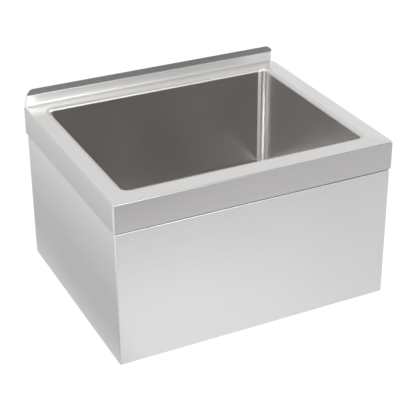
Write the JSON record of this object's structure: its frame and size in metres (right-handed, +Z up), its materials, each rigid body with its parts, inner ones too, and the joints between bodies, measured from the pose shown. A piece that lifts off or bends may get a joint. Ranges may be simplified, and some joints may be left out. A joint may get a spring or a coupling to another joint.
{
  "type": "mop service sink",
  "caption": "Floor-standing brushed steel mop sink with a deep bowl, folded rim and rear upstand, closed casing, pull-off front panel, basket strainer waste and levelling feet.",
  "frame": {"origin": "on the floor, under the middle of the overall box", "axes": "+Z up, +X to the right as the user faces the front, +Y to the wall behind, -Y out of the front panel"},
  "size_m": [0.6, 0.5, 0.384],
  "materials": {
    "brushed_sheet": "satin, grain along each strip",
    "bowl_sheet": "dull satin, grain along the walls",
    "casing_sheet": "satin, grain lengthways",
    "polished_steel": "polished",
    "plated_steel": "zinc plated",
    "brass": "plain",
    "black_rubber": "matt",
    "black_plastic": "fine grain",
    "pale_fibre": "pressed fibre"
  },
  "bodies": {
    "sink": {"rim_front": "brushed_sheet", "rim_left": "brushed_sheet", "rim_right": "brushed_sheet", "rim_rear_upstand": "brushed_sheet", "bowl": "bowl_sheet", "sound_deadening_pad": "black_rubber", "side_panel_left": "casing_sheet", "side_panel_right": "casing_sheet", "front_upper_rail": "casing_sheet", "front_lower_rail": "casing_sheet", "rear_upper_rail": "casing_sheet", "rear_lower_rail": "casing_sheet", "rail_rivets": "plated_steel", "catch_grommets": "black_plastic", "foot_bracket_front_left": "casing_sheet", "foot_bracket_front_right": "casing_sheet", "foot_bracket_rear_left": "casing_sheet", "foot_bracket_rear_right": "casing_sheet", "weld_nuts": "plated_steel", "lock_nuts": "plated_steel", "waste_body": "polished_steel", "flange_seal": "black_rubber", "under_seal": "black_rubber", "friction_washer": "pale_fibre", "back_nut": "black_plastic", "earth_tag": "casing_sheet", "earth_screw": "brass", "earth_nut": "brass"},
    "front_panel": {"front_panel": "casing_sheet", "panel_studs": "plated_steel"},
    "basket": {"strainer_basket": "polished_steel", "basket_stopper": "black_rubber", "basket_knob": "polished_steel"},
    "foot_pad_front_left": {"foot_pad_front_left": "black_plastic"},
    "foot_screw_front_left": {"foot_screw_front_left": "plated_steel"},
    "foot_pad_front_right": {"foot_pad_front_right": "black_plastic"},
    "foot_screw_front_right": {"foot_screw_front_right": "plated_steel"},
    "foot_pad_rear_left": {"foot_pad_rear_left": "black_plastic"},
    "foot_screw_rear_left": {"foot_screw_rear_left": "plated_steel"},
    "foot_pad_rear_right": {"foot_pad_rear_right": "black_plastic"},
    "foot_screw_rear_right": {"foot_screw_rear_right": "plated_steel"}
  },
  "joints": [
    {"name": "front_panel_pull", "type": "slide", "parent": "sink", "child": "front_panel", "axis": [0, -1, 0], "range_m": [0, 0.15]},
    {"name": "basket_lift", "type": "slide", "parent": "sink", "child": "basket", "axis": [0, 0, 1], "range_m": [0, 0.28]},
    {"name": "foot_front_left_level", "type": "slide", "parent": "sink", "child": "foot_pad_front_left", "axis": [0, 0, -1], "range_m": [0, 0.02]},
    {"name": "foot_front_left_turn", "type": "hinge", "parent": "foot_pad_front_left", "child": "foot_screw_front_left", "pos_m": [-0.2738, -0.2199, 0.03], "axis": [0, 0, -1], "range_deg": [0, 4800]},
    {"name": "foot_front_right_level", "type": "slide", "parent": "sink", "child": "foot_pad_front_right", "axis": [0, 0, -1], "range_m": [0, 0.02]},
    {"name": "foot_front_right_turn", "type": "hinge", "parent": "foot_pad_front_right", "child": "foot_screw_front_right", "pos_m": [0.2738, -0.2199, 0.03], "axis": [0, 0, -1], "range_deg": [0, 4800]},
    {"name": "foot_rear_left_level", "type": "slide", "parent": "sink", "child": "foot_pad_rear_left", "axis": [0, 0, -1], "range_m": [0, 0.02]},
    {"name": "foot_rear_left_turn", "type": "hinge", "parent": "foot_pad_rear_left", "child": "foot_screw_rear_left", "pos_m": [-0.2738, 0.2161, 0.03], "axis": [0, 0, -1], "range_deg": [0, 4800]},
    {"name": "foot_rear_right_level", "type": "slide", "parent": "sink", "child": "foot_pad_rear_right", "axis": [0, 0, -1], "range_m": [0, 0.02]},
    {"name": "foot_rear_right_turn", "type": "hinge", "parent": "foot_pad_rear_right", "child": "foot_screw_rear_right", "pos_m": [0.2738, 0.2161, 0.03], "axis": [0, 0, -1], "range_deg": [0, 4800]}
  ],
  "couplings": [
    {"joint": "foot_front_left_turn", "follows": "foot_front_left_level", "rad_per_m": 4188.8},
    {"joint": "foot_front_right_turn", "follows": "foot_front_right_level", "rad_per_m": 4188.8},
    {"joint": "foot_rear_left_turn", "follows": "foot_rear_left_level", "rad_per_m": 4188.8},
    {"joint": "foot_rear_right_turn", "follows": "foot_rear_right_level", "rad_per_m": 4188.8}
  ]
}
